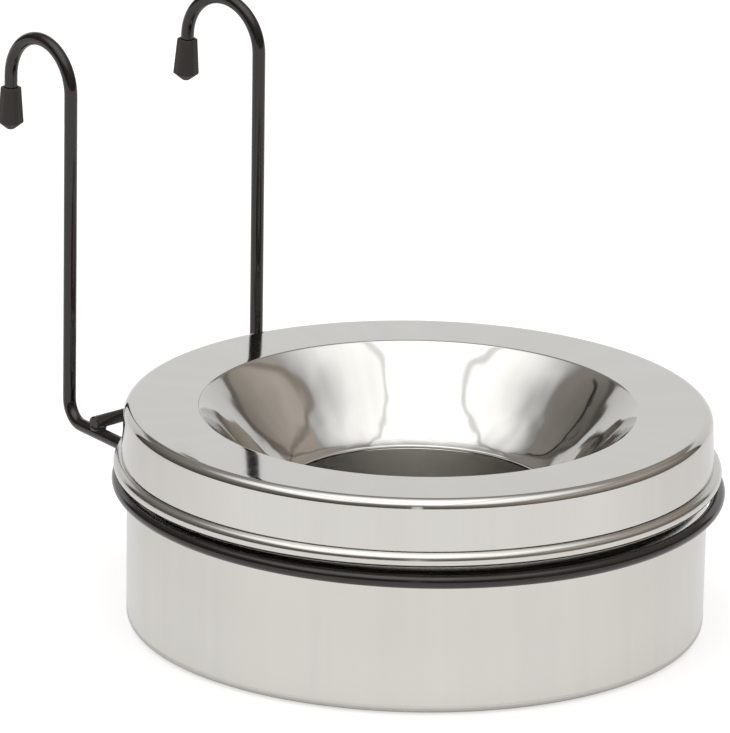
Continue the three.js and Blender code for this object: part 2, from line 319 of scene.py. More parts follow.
def polyline(name, points):
    """An object that holds only points and the lines between them."""
    mesh = bpy.data.meshes.new(name)
    mesh.from_pydata(points, [(i, i + 1) for i in range(len(points) - 1)], [])
    return in_scene(name, mesh)


print("a quarter arc in 12 steps has", len(arc(0, 0, MM, 0, 90, 12)), "points")

# %% [markdown]
# ## Geometry Nodes: turning a profile
#
# Turning is a rule, so Geometry Nodes do it. A grid gets one row for each profile point and one
# column for each step round the axis. Each grid point then looks up its profile point and swings it
# round. The seam and the poles are merged.

# %% Geometry Nodes: turning
SEAM = 0.002 * MM  # points nearer than this are merged


def tree_with(name, sockets):
    """A new tree with geometry in and out, and its named inputs."""
    tree = bpy.data.node_groups.new(name, "GeometryNodeTree")
    tree.interface.new_socket("Geometry", in_out="INPUT", socket_type="NodeSocketGeometry")
    for socket_name, kind in sockets.items():
        tree.interface.new_socket(socket_name, in_out="INPUT", socket_type="NodeSocket" + kind)
    tree.interface.new_socket("Geometry", in_out="OUTPUT", socket_type="NodeSocketGeometry")
    return tree, tree.nodes.new("NodeGroupInput").outputs, tree.nodes.new("NodeGroupOutput").inputs


def finish_tree(tree, geometry, material, output):
    """Smooth shading, real geometry and a material, as the last steps of every tree."""
    smooth = add_node(tree, "GeometryNodeSetShadeSmooth", values={"Geometry": geometry})[0]
    real = add_node(tree, "GeometryNodeRealizeInstances", values={"Geometry": smooth})[0]
    finished = add_node(
        tree, "GeometryNodeSetMaterial", values={"Geometry": real, "Material": material}
    )[0]
    tree.links.new(finished, output["Geometry"])


def turned(tree, profile, sides, position):
    """Swings the profile round the axis, as a shell whose faces point outwards."""
    rows = add_node(
        tree, "GeometryNodeAttributeDomainSize", {"component": "MESH"}, {"Geometry": profile}
    )["Point Count"]
    columns = add_node(tree, "FunctionNodeIntegerMath", "ADD", {0: sides, 1: 1})[0]
    grid = add_node(
        tree, "GeometryNodeMeshGrid", values={"Vertices X": rows, "Vertices Y": columns}
    )["Mesh"]
    index = add_node(tree, "GeometryNodeInputIndex")[0]
    row = add_node(tree, "FunctionNodeIntegerMath", "DIVIDE_FLOOR", {0: index, 1: columns})[0]
    column = add_node(tree, "FunctionNodeIntegerMath", "MODULO", {0: index, 1: columns})[0]
    looked_up = add_node(
        tree,
        "GeometryNodeSampleIndex",
        {"data_type": "FLOAT_VECTOR", "domain": "POINT"},
        {"Geometry": profile, "Value": position, "Index": row},
    )["Value"]
    turn = add_node(tree, "ShaderNodeMath", "DIVIDE", {0: column, 1: sides})[0]
    angle = add_node(tree, "ShaderNodeMath", "MULTIPLY", {0: turn, 1: 2 * math.pi})[0]
    swung = add_node(
        tree,
        "ShaderNodeVectorRotate",
        {"rotation_type": "Z_AXIS"},
        {"Vector": looked_up, "Angle": angle},
    )[0]
    shell = add_node(
        tree, "GeometryNodeSetPosition", values={"Geometry": grid, "Position": swung}
    )[0]
    merged = add_node(
        tree, "GeometryNodeMergeByDistance", values={"Geometry": shell, "Distance": SEAM}
    )[0]
    return add_node(tree, "GeometryNodeFlipFaces", values={"Mesh": merged})[0]


# %% [markdown]
# ## Geometry Nodes: waves in the sheet
#
# Pressed sheet is never quite true, and that is what makes reflections in it waver. A last touch
# moves it by noise: up to a tenth of a millimetre in the lid's funnel, which was drawn hardest, and
# hardly at all elsewhere. Both faces move together, upwards and inwards, which is square to the
# funnel's wall. The waves run down the funnel, so the noise is looked up mostly by the direction
# from the axis, and close to the axis, where all directions meet, by place.

# %% Geometry Nodes: waves
ROUND_FROM = 60 * MM  # beyond this radius the direction alone counts
ALONG_WAVES = (0.3, 0.3, 0.6)  # how much the place adds to that
FADE = 6 * MM  # width of the belt in which the waves fade
CALM = 0.04  # what is left of them outside


def waves(tree, given, position):
    """How far each point of the sheet moves."""
    level = add_node(tree, "ShaderNodeVectorMath", "MULTIPLY", {0: position, 1: (1, 1, 0)})[0]
    away = add_node(tree, "ShaderNodeVectorMath", "NORMALIZE", {0: level})[0]
    radius = add_node(tree, "ShaderNodeVectorMath", "LENGTH", {0: level})["Value"]
    reach = add_node(tree, "ShaderNodeMath", "MINIMUM", {0: radius, 1: ROUND_FROM})[0]
    ring = add_node(tree, "ShaderNodeVectorMath", "SCALE", {0: away, "Scale": reach})[0]
    place = add_node(
        tree, "ShaderNodeVectorMath", "MULTIPLY_ADD", {0: position, 1: ALONG_WAVES, 2: ring}
    )[0]
    wave_scale = add_node(tree, "ShaderNodeMath", "DIVIDE", {0: 1.0, 1: given["Wave Length"]})[0]
    wave = add_node(
        tree,
        "ShaderNodeTexNoise",
        {"noise_dimensions": "4D"},
        {"Vector": place, "W": given["Seed"], "Scale": wave_scale, "Detail": 1.5},
    )["Fac"]
    centred = add_node(tree, "ShaderNodeMath", "SUBTRACT", {0: wave, 1: 0.5})[0]
    fade_from = add_node(tree, "ShaderNodeMath", "SUBTRACT", {0: given["Wavy Within"], 1: FADE})[0]
    share = add_node(
        tree,
        "ShaderNodeMapRange",
        {"interpolation_type": "SMOOTHSTEP"},
        {
            "Value": radius,
            "From Min": fade_from,
            "From Max": given["Wavy Within"],
            "To Min": 1.0,
            "To Max": CALM,
        },
    )["Result"]
    size = add_node(tree, "ShaderNodeMath", "MULTIPLY", {0: share, 1: given["Waviness"]})[0]
    height = add_node(tree, "ShaderNodeMath", "MULTIPLY", {0: centred, 1: size})[0]
    slanted = add_node(tree, "ShaderNodeVectorMath", "SUBTRACT", {0: (0, 0, 1), 1: away})[0]
    return add_node(tree, "ShaderNodeVectorMath", "SCALE", {0: slanted, "Scale": height})[0]


def turned_sheet_tree():
    sockets = {"Sides": "Int", "Waviness": "Float", "Wave Length": "Float"}
    sockets |= {"Wavy Within": "Float", "Seed": "Float", "Material": "Material"}
    tree, given, output = tree_with("turned_sheet", sockets)
    position = add_node(tree, "GeometryNodeInputPosition")[0]
    shell = turned(tree, given["Geometry"], given["Sides"], position)
    offset = waves(tree, given, position)
    uneven = add_node(
        tree, "GeometryNodeSetPosition", values={"Geometry": shell, "Offset": offset}
    )[0]
    finish_tree(tree, uneven, given["Material"], output)
    return tree


turned_sheet = turned_sheet_tree()
SIDES = 256  # steps round the axis
print("turned sheet:", len(turned_sheet.nodes), "nodes")

# %% [markdown]
# ## From a tree to a piece
#
# A tree runs as a modifier. Its result is kept as a plain mesh, and the modifier goes. Then the
# piece is seated: it rides on a body and stands for one of the measured solids. Its volume is
# positive only when every face points outwards, and a closed shell has no open edge.

# %% Finished pieces
def through_tree(source, tree, values, name):
    """Runs a tree on a source object and keeps the result as a plain mesh under a new name."""
    modifier = source.modifiers.new("make", "NODES")
    modifier.node_group = tree
    for item in tree.interface.items_tree:
        if item.item_type == "SOCKET" and item.in_out == "INPUT" and item.name in values:
            modifier[item.identifier] = values[item.name]
    source.update_tag()
    bpy.context.view_layer.update()
    evaluated = source.evaluated_get(bpy.context.evaluated_depsgraph_get())
    mesh = bpy.data.meshes.new_from_object(evaluated)
    mesh.name = name
    source.modifiers.remove(modifier)
    bpy.data.objects.remove(source)
    return in_scene(name, mesh)


def volume_of(piece):
    """Signed volume in cubic centimetres, and the number of open edges."""
    shape = bmesh.new()
    shape.from_mesh(piece.data)
    cubic_cm = shape.calc_volume(signed=True) * 1e6
    open_edges = sum(not edge.is_manifold for edge in shape.edges)
    shape.free()
    return round(cubic_cm, 2), open_edges


def placed(piece, body, node):
    """Seats a finished piece on its body, in the place of the solid it stands for."""
    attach(piece, body)
    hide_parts(node)
    volume, open_edges = volume_of(piece)
    faces = len(piece.data.polygons)
    print(f"{piece.name} for {node}: {faces} faces, {volume} cm3, {open_edges} open edges")


# %% [markdown]
# ## The bowl
#
# One round of sheet, drawn deep: a flat base, a tight fillet, an almost upright wall, and a rim
# rolled outwards into a hollow bead that stiffens it and rests on the ring. The profile goes up the
# outside, round the bead and down the inside, so that the sheet has its real thickness everywhere.

# %% Bowl
SHEET = 0.7 * MM
BOWL_DRAFT = 0.45 * MM  # how much narrower the wall is at its foot
BOWL_HEIGHT = 59 * MM
BASE_FILLET = 3.8 * MM
ROLL_RADIUS = 2.7 * MM
ROLL_GAP = 0.8 * MM  # between the wall and the edge of the rolled sheet

rim_x = BOWL_RADIUS - SHEET + ROLL_RADIUS
rim_z = BOWL_HEIGHT - ROLL_RADIUS


def bowl_profile():
    fillet_x = BOWL_RADIUS - BOWL_DRAFT - BASE_FILLET
    edge = -math.degrees(math.acos((BOWL_RADIUS + ROLL_GAP - rim_x) / ROLL_RADIUS))
    return [
        Vector((0, 0, 0)),
        *arc(fillet_x, BASE_FILLET, BASE_FILLET, -90, 0, 12),
        *arc(rim_x, rim_z, ROLL_RADIUS - SHEET, 180, edge, 28),
        *arc(rim_x, rim_z, ROLL_RADIUS, edge, 180, 36),
        *arc(fillet_x, BASE_FILLET, BASE_FILLET - SHEET, 0, -90, 10),
        Vector((0, 0, SHEET)),
    ]


bowl = through_tree(
    polyline("bowl_profile", with_supports(bowl_profile(), 4 * MM)),
    turned_sheet,
    {
        "Sides": SIDES,
        "Waviness": 0.012 * MM,
        "Wave Length": 30 * MM,
        "Wavy Within": 2 * BOWL_RADIUS,
        "Seed": 3.0,
        "Material": satin_steel,
    },
    "bowl_shell",
)
placed(bowl, "bowl", "water_bowl")

# %% [markdown]
# ## The funnel's wall
#
# Inside the lid a funnel sinks towards the hole where the animal drinks. Its wall looks straight,
# but the way it mirrors the studio tells that it is a slight S: easier at the rim, steepest below
# it, then easier again, and flared at the hem. So its slope is written down, and the wall is
# stepped out from it. A few rounds turn and stretch it until it ends at the hem.

# %% Funnel
FUNNEL_BEND = 1.3 * MM
HEM_RADIUS = 0.9 * MM
STEEPEST = 49.5  # degrees
STEEPEST_AT = 0.4  # share of the way down
SLOPE_EASE = 8  # degrees less at the rim
HEM_FLARE = 12  # degrees less again, right at the hem
FLARE_START = 0.88  # share of the wall after which the flare begins
WALL_STEPS = 40
FITTING_ROUNDS = 6


def funnel_slope(share):
    """Slope of the funnel's wall in degrees, from its rim (0) to its hem (1)."""
    slope = STEEPEST - SLOPE_EASE * (share / STEEPEST_AT - 1) ** 2
    if share > FLARE_START:
        slope -= HEM_FLARE * ((share - FLARE_START) / (1 - FLARE_START)) ** 2
    return slope


def square_to(slope):
    """Upwards and inwards, square to a wall of that slope."""
    return Vector((-math.sin(slope), 0, math.cos(slope)))


def funnel_wall(bend, hem):
    """Points down the funnel from its bend to its hem, and the slope at each."""
    correction = 0
    for _ in range(FITTING_ROUNDS):
        slopes = [
            math.radians(funnel_slope(step / WALL_STEPS) + correction)
            for step in range(WALL_STEPS + 1)
        ]
        start = bend + square_to(slopes[0]) * FUNNEL_BEND
        end = hem + square_to(slopes[-1]) * HEM_RADIUS
        offsets = [Vector((0, 0, 0))]
        for slope, next_slope in zip(slopes, slopes[1:]):
            mean = (slope + next_slope) / 2
            offsets.append(offsets[-1] - Vector((math.cos(mean), 0, math.sin(mean))))
        wanted = math.atan2((start - end).z, (start - end).x)
        reached = math.atan2(-offsets[-1].z, -offsets[-1].x)
        correction += math.degrees(wanted - reached)
    size = (end - start).length / offsets[-1].length
    return [start + offset * size for offset in offsets], slopes


print("slope", [round(funnel_slope(share), 1) for share in (0, STEEPEST_AT, FLARE_START, 1)])

# %% [markdown]
# ## The lid
#
# Also one round of sheet: a flat ring on top, a rounded shoulder and a short skirt outside, and the
# funnel inside. The edge of the hole is folded under, so that no tongue meets a cut edge. The skirt
# ends in a small step that sits on the bowl's rim, and a collar below it keeps the lid centred.

# %% Lid
SEAT_GAP = 0.3 * MM
SEAT_DROP = 0.22 * MM  # the lid's weight presses its foot down, almost onto the rim
LID_HEIGHT = 17.7 * MM
RIM_SHOW = 2.7 * MM
SKIRT_FLARE = 0.6 * MM
SHOULDER_RADIUS = 3.5 * MM
STEP_CORNER = 0.3 * MM
COLLAR_LENGTH = 7 * MM
COLLAR_CLEARANCE = 0.5 * MM
FLAT_TOP_WIDTH = 21.9 * MM
FUNNEL_DEPTH = 30.4 * MM
HOLE_RADIUS = 45.4 * MM
TOP_CROWN = 0.025 * MM  # how far the flat ring bulges between its bends
FOLD_RISE = 1.4 * SHEET  # where the skirt's inside meets the step

seat_z = BOWL_HEIGHT + SEAT_GAP
top_z = seat_z + LID_HEIGHT


def crowned(start, end, rise, steps):
    """Points between two others, with a crown over the straight line."""
    points = []
    for step in range(1, steps):
        share = step / steps
        points.append(start.lerp(end, share) + Vector((0, 0, rise * 4 * share * (1 - share))))
    return points


def lid_profile():
    foot_x = rim_x + ROLL_RADIUS - RIM_SHOW
    shoulder_x = foot_x - SKIRT_FLARE - SHOULDER_RADIUS
    shoulder_z = top_z - SHOULDER_RADIUS
    hem = Vector((HOLE_RADIUS + HEM_RADIUS, 0, top_z - FUNNEL_DEPTH + HEM_RADIUS))
    bend = Vector((shoulder_x - FLAT_TOP_WIDTH, 0, top_z - FUNNEL_BEND))
    wall, slopes = funnel_wall(bend, hem)
    rim_normal = math.degrees(slopes[0]) + 90
    hem_normal = math.degrees(slopes[-1]) + 90
    join = math.degrees(math.acos((HEM_RADIUS - SHEET) / HEM_RADIUS))
    corner_x = foot_x - STEP_CORNER
    rest_z = seat_z - SEAT_DROP
    corner_z = rest_z + STEP_CORNER
    collar_x = BOWL_RADIUS - SHEET - COLLAR_CLEARANCE
    collar_foot = seat_z - COLLAR_LENGTH
    shoulder = arc(shoulder_x, shoulder_z, SHOULDER_RADIUS, 90, 0, 24)
    funnel_rim = arc(bend.x, bend.z, FUNNEL_BEND, rim_normal, 90, 12)
    outside = [
        *arc(hem.x, hem.z, HEM_RADIUS, hem_normal + 360 - join, hem_normal, 28),
        *wall[-2:0:-1],
        *funnel_rim,
        *crowned(funnel_rim[-1], shoulder[0], TOP_CROWN, 12),
        *shoulder,
        *arc(corner_x, corner_z, STEP_CORNER, 0, -90, 8),
        Vector((collar_x, 0, rest_z)),
        Vector((collar_x, 0, collar_foot)),
    ]
    underside = [
        point - square_to(slope) * SHEET for point, slope in list(zip(wall, slopes))[1:-1]
    ]
    inside = [
        Vector((collar_x - SHEET, 0, collar_foot)),
        Vector((collar_x - SHEET, 0, rest_z + SHEET)),
        Vector((corner_x - SHEET / 2, 0, rest_z + SHEET)),
        Vector((foot_x - SHEET, 0, rest_z + FOLD_RISE)),
        *arc(shoulder_x, shoulder_z, SHOULDER_RADIUS - SHEET, 0, 90, 14),
        *arc(bend.x, bend.z, FUNNEL_BEND - SHEET, 90, rim_normal, 8),
        *underside,
        outside[0],
    ]
    return (outside + inside)[::-1]


lid = through_tree(
    polyline("lid_profile", with_supports(lid_profile(), 3 * MM)),
    turned_sheet,
    {
        "Sides": SIDES,
        "Waviness": 0.42 * MM,
        "Wave Length": 14 * MM,
        "Wavy Within": 75 * MM,
        "Seed": 8.0,
        "Material": polished_steel,
    },
    "lid_shell",
)
placed(lid, "lid", "funnel_lid")

# %% [markdown]
# ## The wire's path: ring and arms
#
# One length of wire makes the ring, both arms, both posts and both hooks. Its centre line is a
# chain of arcs and straight runs, worked out from the ring outwards. The ring hangs a little lower
# in front than at the back, and the rim rests on its back ends, which sets the height of the whole
# frame. The arms splay. Each turns into the ring in a bend that the lid hides, and the bend has to
# touch both, so its centre is worked out first.

# %% Ring and arms
WIRE_RADIUS = 2.3 * MM
RING_CLEARANCE = 1 * MM
RING_SHIFT = 0.6 * MM
RIM_SEAT_GAP = 0.35 * MM
RING_DROOP = math.radians(0.65)
ARM_BEND = 9 * MM
ARM_SPREAD = math.radians(8.5)
ARM_DROP = 1.55 * MM
POST_STANDOFF = 27.3 * MM
POST_SPACING = 88.6 * MM

ring_radius = BOWL_RADIUS + RING_CLEARANCE + WIRE_RADIUS
ring_forward = Vector((math.cos(RING_DROOP), 0, -math.sin(RING_DROOP)))
ring_normal = Vector((math.sin(RING_DROOP), 0, math.cos(RING_DROOP)))
post_x = -(ring_radius + POST_STANDOFF)

# The bend from the right arm to the ring, from above, seen from the ring's centre
arm_along = Vector((math.cos(ARM_SPREAD), math.sin(ARM_SPREAD)))
bend_start = Vector((post_x, POST_SPACING / 2)) + Vector((-arm_along.y, arm_along.x)) * ARM_BEND
towards = bend_start.dot(arm_along)
reach = ring_radius + ARM_BEND
arm_run = -towards - math.sqrt(towards**2 - bend_start.length_squared + reach**2)
arm_bend_centre = bend_start + arm_along * arm_run
ring_end = math.atan2(arm_bend_centre.y, arm_bend_centre.x)
arm_bend_turn = ring_end - math.pi / 2 - ARM_SPREAD

# The seat of the rim on the back ends of the ring
ring_back = Vector((math.cos(ring_end), math.sin(ring_end))) * ring_radius
seat_reach = ROLL_RADIUS + WIRE_RADIUS + RIM_SEAT_GAP
seat_offset = math.hypot(RING_SHIFT + ring_back.x, ring_back.y) - rim_x
ring_back_z = rim_z - math.sqrt(seat_reach**2 - seat_offset**2)
ring_centre = Vector((RING_SHIFT, 0, ring_back_z + ring_back.x * math.sin(RING_DROOP)))
arm_z = ring_back_z - ARM_DROP
print("ring", round(ring_radius / MM, 2), "mm, arms at height", round(arm_z / MM, 2), "mm")

# %% [markdown]
# ## The wire's path: posts and hooks
#
# The posts lean back slightly, and each hook is toed in a little towards the other. The two hooks
# differ in height, bend and leg, as wire does when it is bent, so their sizes come in pairs.

# %% Hooks
POST_LEAN = math.radians(0.55)
HOOK_RADIUS = {-1: 16.7 * MM, 1: 17.15 * MM}  # the side is -1 on the left and 1 on the right
HOOK_BEND = {-1: math.radians(179.6), 1: math.radians(177.6)}
HOOK_RISE = {-1: 136.15 * MM, 1: 135.2 * MM}
HOOK_TOE_IN = {-1: math.radians(3.2), 1: math.radians(4.6)}
HOOK_LEG = {-1: 4.35 * MM, 1: 1.9 * MM}


def swing(centre, arm, axis, angle, steps):
    """Points that swing round a centre."""
    return [
        centre + Matrix.Rotation(angle * step / steps, 3, axis) @ arm for step in range(steps + 1)
    ]


def hook_of(side):
    """Which way the leg points upwards, the post's foot and top, and the hook's bend."""
    along = Vector((-math.sin(POST_LEAN), 0, math.cos(POST_LEAN)))
    level = Vector((-math.cos(HOOK_TOE_IN[side]), -side * math.sin(HOOK_TOE_IN[side]), 0))
    across = (level - along * level.dot(along)).normalized()
    foot = Vector((RING_SHIFT + post_x, side * POST_SPACING / 2, arm_z))
    arm = across * HOOK_RADIUS[side]
    # From the post's top to the highest point of the bend
    crown = HOOK_RADIUS[side] * (math.hypot(along.z, across.z) + across.z)
    top = foot + along * ((HOOK_RISE[side] - WIRE_RADIUS - crown) / along.z)
    axis = (-across).cross(along)
    bend = swing(top + arm, -arm, axis, HOOK_BEND[side], 40)
    leg_up = Matrix.Rotation(HOOK_BEND[side] - math.pi, 3, axis) @ along
    return leg_up, foot, top, bend


print("the bends start at mm", [round(hook_of(side)[2].z / MM, 1) for side in (-1, 1)])

# %% [markdown]
# ## The wire's path: the whole chain
#
# Half of the frame runs from the front of the ring to a hook's tip. The left half, turned round,
# and the right half make one chain of points.

# %% Centre line of the frame
POST_BEND = 8 * MM
SOCKET_DEPTH = 10.7 * MM  # how far the tip reaches into its end cap


def rounded_corner(before, corner, after, radius, steps):
    arriving = (corner - before).normalized()
    leaving = (after - corner).normalized()
    turn = arriving.angle(leaving)
    axis = arriving.cross(leaving).normalized()
    start = corner - arriving * radius * math.tan(turn / 2)
    centre = start + axis.cross(arriving) * radius
    return swing(centre, start - centre, axis, turn, steps)


def half_of_frame(side):
    leg_up, foot, top, bend = hook_of(side)
    ring = swing(ring_centre, ring_forward * ring_radius, ring_normal, side * ring_end, 120)
    centre = ring_centre + ring_forward * arm_bend_centre.x
    centre.y = side * arm_bend_centre.y
    arm_bend = swing(centre, ring[-1] - centre, ring_normal, -side * arm_bend_turn, 16)[1:]
    # Here the wire leaves the drooping ring and settles at the arm's height
    for number, point in enumerate(arm_bend, 1):
        ease = number / len(arm_bend)
        point.z += (arm_z - point.z) * ease * ease * (3 - 2 * ease)
    post_bend = rounded_corner(arm_bend[-1], foot, top, POST_BEND, 16)
    tip = bend[-1] - leg_up * (HOOK_LEG[side] + SOCKET_DEPTH)
    return [*ring, *arm_bend, *post_bend, *bend, tip]


frame_path = half_of_frame(-1)[:0:-1] + half_of_frame(1)
length = sum((end - start).length for start, end in zip(frame_path, frame_path[1:]))
print("one wire of", round(length / MM), "mm, in", len(frame_path), "points")

# %% [markdown]
# ## One node tree that coats a wire
#
# A path and a thickness are all that a bent wire needs, so the second tree turns the chain of
# points into a curve, sweeps a circle along it and closes both ends. The frame and the crossbar
# both go through it.

# %% Geometry Nodes: wire along a path
def coated_wire_tree():
    sockets = {"Wire Radius": "Float", "Wire Sides": "Int", "Material": "Material"}
    tree, given, output = tree_with("coated_wire", sockets)
    path = add_node(tree, "GeometryNodeMeshToCurve", values={"Mesh": given["Geometry"]})[0]
    section = add_node(
        tree,
        "GeometryNodeCurvePrimitiveCircle",
        values={"Resolution": given["Wire Sides"], "Radius": given["Wire Radius"]},
    )[0]
    wire = add_node(
        tree,
        "GeometryNodeCurveToMesh",
        values={"Curve": path, "Profile Curve": section, "Fill Caps": True},
    )[0]
    finish_tree(tree, wire, given["Material"], output)
    return tree


coated_wire = coated_wire_tree()


def wire_piece(name, path):
    return through_tree(
        polyline(name + "_path", with_supports(path, 12 * MM, 0.4 * MM)),
        coated_wire,
        {"Wire Radius": WIRE_RADIUS, "Wire Sides": 32, "Material": coating},
        name,
    )


frame_wire = wire_piece("frame_wire", frame_path)
placed(frame_wire, "holder", "wire_frame")

# %% [markdown]
# ## Crossbar and welds
#
# The crossbar lies over both arms and keeps them apart. Welding pressed it slightly into them, and
# the coat then closed over wire and weld alike, which leaves a small dark web in each corner. A
# bevel rounds the ends of the bar, as the coat does. A weld is a ball, pressed flatter and made a
# little uneven by noise.

# %% Crossbar
CROSSBAR_STANDOFF = 9.1 * MM
CROSSBAR_OVERHANG = 0.1 * MM
CROSSBAR_SINK = 0.45 * MM
SHARP_EDGE = math.radians(50)  # only the rims of the bar's ends are sharper

crossbar_x = -(ring_radius + CROSSBAR_STANDOFF)
crossing_y = POST_SPACING / 2 + (crossbar_x - post_x) * math.tan(ARM_SPREAD)
crossbar_z = arm_z + 2 * WIRE_RADIUS - CROSSBAR_SINK
crossbar_half = crossing_y + WIRE_RADIUS / math.cos(ARM_SPREAD) + CROSSBAR_OVERHANG

bar_ends = [
    Vector((RING_SHIFT + crossbar_x, y, crossbar_z)) for y in (-crossbar_half, crossbar_half)
]
crossbar = wire_piece("crossbar_wire", bar_ends)
rounding = crossbar.modifiers.new("rounded_ends", "BEVEL")
rounding.width = 0.7 * MM
rounding.segments = 4
rounding.limit_method = "ANGLE"
rounding.angle_limit = SHARP_EDGE
placed(crossbar, "holder", "crossbar")

# %% Welds
WELD_RADIUS = 2.9 * MM
WELD_FLATNESS = 0.6
WELD_UNEVENNESS = 0.08
WELD_LUMPS = 2.2  # how often the unevenness repeats in one radius
WELD_APART = 5  # in the noise, so that the two differ


def smooth_piece(name, shape, material):
    """An object from a shape in the making, shaded smooth."""
    mesh = bpy.data.meshes.new(name)
    shape.to_mesh(mesh)
    shape.free()
    mesh.shade_smooth()
    mesh.materials.append(material)
    return in_scene(name, mesh)


def weld(name, side):
    shape = bmesh.new()
    bmesh.ops.create_icosphere(shape, subdivisions=4, radius=1)
    middle = Vector((RING_SHIFT + crossbar_x, side * crossing_y, (arm_z + crossbar_z) / 2))
    for vertex in shape.verts:
        lump = noise.noise(vertex.co * WELD_LUMPS + Vector((side * WELD_APART, 0, 0)))
        size = Vector((1.0, 1.0, WELD_FLATNESS)) * WELD_RADIUS * (1 + WELD_UNEVENNESS * lump)
        vertex.co = middle + Vector(a * b for a, b in zip(vertex.co, size))
    return smooth_piece(name, shape, coating)


placed(weld("weld_lump_left", -1), "holder", "crossbar_weld_left")
placed(weld("weld_lump_right", 1), "holder", "crossbar_weld_right")

# %% [markdown]
# ## End caps
#
# Each hook's tip wears a moulded cap, a six-sided sleeve that widens downwards and closes in a
# blunt point, so that fur and fingers meet no wire end. It is lofted from rings: every ring is a
# hexagon with rounded corners, and only its size and height change.

# %% Rings of an end cap
CAP_LENGTH = 15.2 * MM
CAP_CHAMFER = 2.6 * MM
CAP_MOUTH = 3.868 * MM  # across corners, halved
CAP_WIDEST = 4.868 * MM
CAP_TIP = 1.5 * MM
CAP_SOFTNESS = 0.16  # how much of each face belongs to a rounded corner
CORNER_WIDTH = 1.1  # how wide and how deep the rounding is, in shares of that
CORNER_CUT = 0.55
CAP_POINTS = 72


def hexagon(radius, softness):
    """A hexagon with rounded corners, as points round the circle. Softness None is a circle."""
    points = []
    for number in range(CAP_POINTS):
        angle = 2 * math.pi * number / CAP_POINTS
        size = radius
        if softness is not None:
            from_corner = (angle + math.pi / 6) % (math.pi / 3) - math.pi / 6
            straight = math.cos(math.pi / 6) / math.cos(math.pi / 6 - abs(from_corner))
            nearness = math.exp(-((from_corner / (softness * CORNER_WIDTH)) ** 2))
            size = radius * min(straight, 1 - softness * nearness * CORNER_CUT)
        points.append((size * math.cos(angle), size * math.sin(angle)))
    return points


def cap_rings():
    """Rings from the socket over the mouth to the tip: half width, height and softness."""
    bore = WIRE_RADIUS + 0.05 * MM
    flank = CAP_LENGTH - CAP_CHAMFER
    # The socket with its widened lip, then the rounded rim of the mouth
    rings = [(bore, -3 * MM, None), (bore, -0.25 * MM, None), (bore + 0.2 * MM, 0, None)]
    rings.append((CAP_MOUTH - 0.3 * MM, 0, CAP_SOFTNESS))
    rings.append((CAP_MOUTH - 0.08 * MM, -0.1 * MM, CAP_SOFTNESS))
    # The flank, which widens downwards, and its rounded lower edge
    for step in range(7):
        share = step / 6
        width = CAP_MOUTH + (CAP_WIDEST - 0.05 * MM - CAP_MOUTH) * share
        rings.append((width, -0.35 * MM - (flank - 0.85 * MM) * share, CAP_SOFTNESS))
    rings.append((CAP_WIDEST, -flank + 0.15 * MM, CAP_SOFTNESS))
    rings.append((CAP_WIDEST - 0.12 * MM, -flank - 0.12 * MM, CAP_SOFTNESS))
    # The chamfer, softer than the flank, and the blunt point
    for step in range(1, 5):
        share = step / 5
        width = CAP_WIDEST + (CAP_TIP - CAP_WIDEST) * share
        rings.append((width, -flank - CAP_CHAMFER * share * 0.97, 0.2))
    rings.append((CAP_TIP, -CAP_LENGTH + 0.12 * MM, 0.25))
    rings.append((CAP_TIP - 0.35 * MM, -CAP_LENGTH, 0.25))
    rings.append((CAP_TIP * 0.4, -CAP_LENGTH, 0.25))
    return rings


print("a cap has", len(cap_rings()), "rings of", CAP_POINTS, "points")

# %% End caps
CAP_TURN = math.radians(46.5)


def cap(name, side):
    """A cap on the hook of one side, its mouth where the bare wire ends."""
    leg_up, _, _, bend = hook_of(side)
    mouth = bend[-1] - leg_up * HOOK_LEG[side]
    upright_to_leg = Vector((0, 0, 1)).rotation_difference(leg_up).to_matrix()
    turned_cap = upright_to_leg @ Matrix.Rotation(CAP_TURN, 3, "Z")
    place = Matrix.Translation(mouth) @ turned_cap.to_4x4()
    shape = bmesh.new()
    rings = [
        [shape.verts.new(place @ Vector((x, y, height))) for x, y in hexagon(radius, softness)]
        for radius, height, softness in cap_rings()
    ]
    for upper, lower in zip(rings, rings[1:]):
        for number in range(CAP_POINTS):
            after = (number + 1) % CAP_POINTS
            shape.faces.new((upper[number], lower[number], lower[after], upper[after]))
    shape.faces.new(rings[0])
    shape.faces.new(rings[-1][::-1])
    bmesh.ops.recalc_face_normals(shape, faces=shape.faces)
    return smooth_piece(name, shape, rubber)


placed(cap("cap_left", -1), "holder", "hook_cap_left")
placed(cap("cap_right", 1), "holder", "hook_cap_right")

# %% [markdown]
# ## Floor
#
# A white floor that the eye hardly notices: the camera sees it almost as white as the backdrop, and
# it still keeps the soft shadow under the bowl. Light Path tells which kind of ray asks, and a
# little emission answers: one strength for the camera, another for what steel and black coat
# mirror. For the mirror that emission is painted light: brightest in front, under the diffuser, and
# dimmer towards the backdrop. Right under the bowl's edge it is painted dark, a painted shadow
# where no light reaches, which draws the dark line at its foot.

# %% Floor material
FLOOR_LIFT = 0.62  # emission that the camera sees
MIRRORED_FRONT = 0.6  # emission that a mirror sees, in front and behind
MIRRORED_BACK = 0.38
DIM_FROM, DIM_TO = -0.15, 0.15  # metres behind the axis
FOOT_FROM, FOOT_TO = 90 * MM, 190 * MM  # from the axis
FOOT_SHADOW_STOPS = ((0.1, 0.3), (0.14, 1), (0.2, 1), (0.8, 0.88))  # painted shadow round the foot: share of that way, and strength
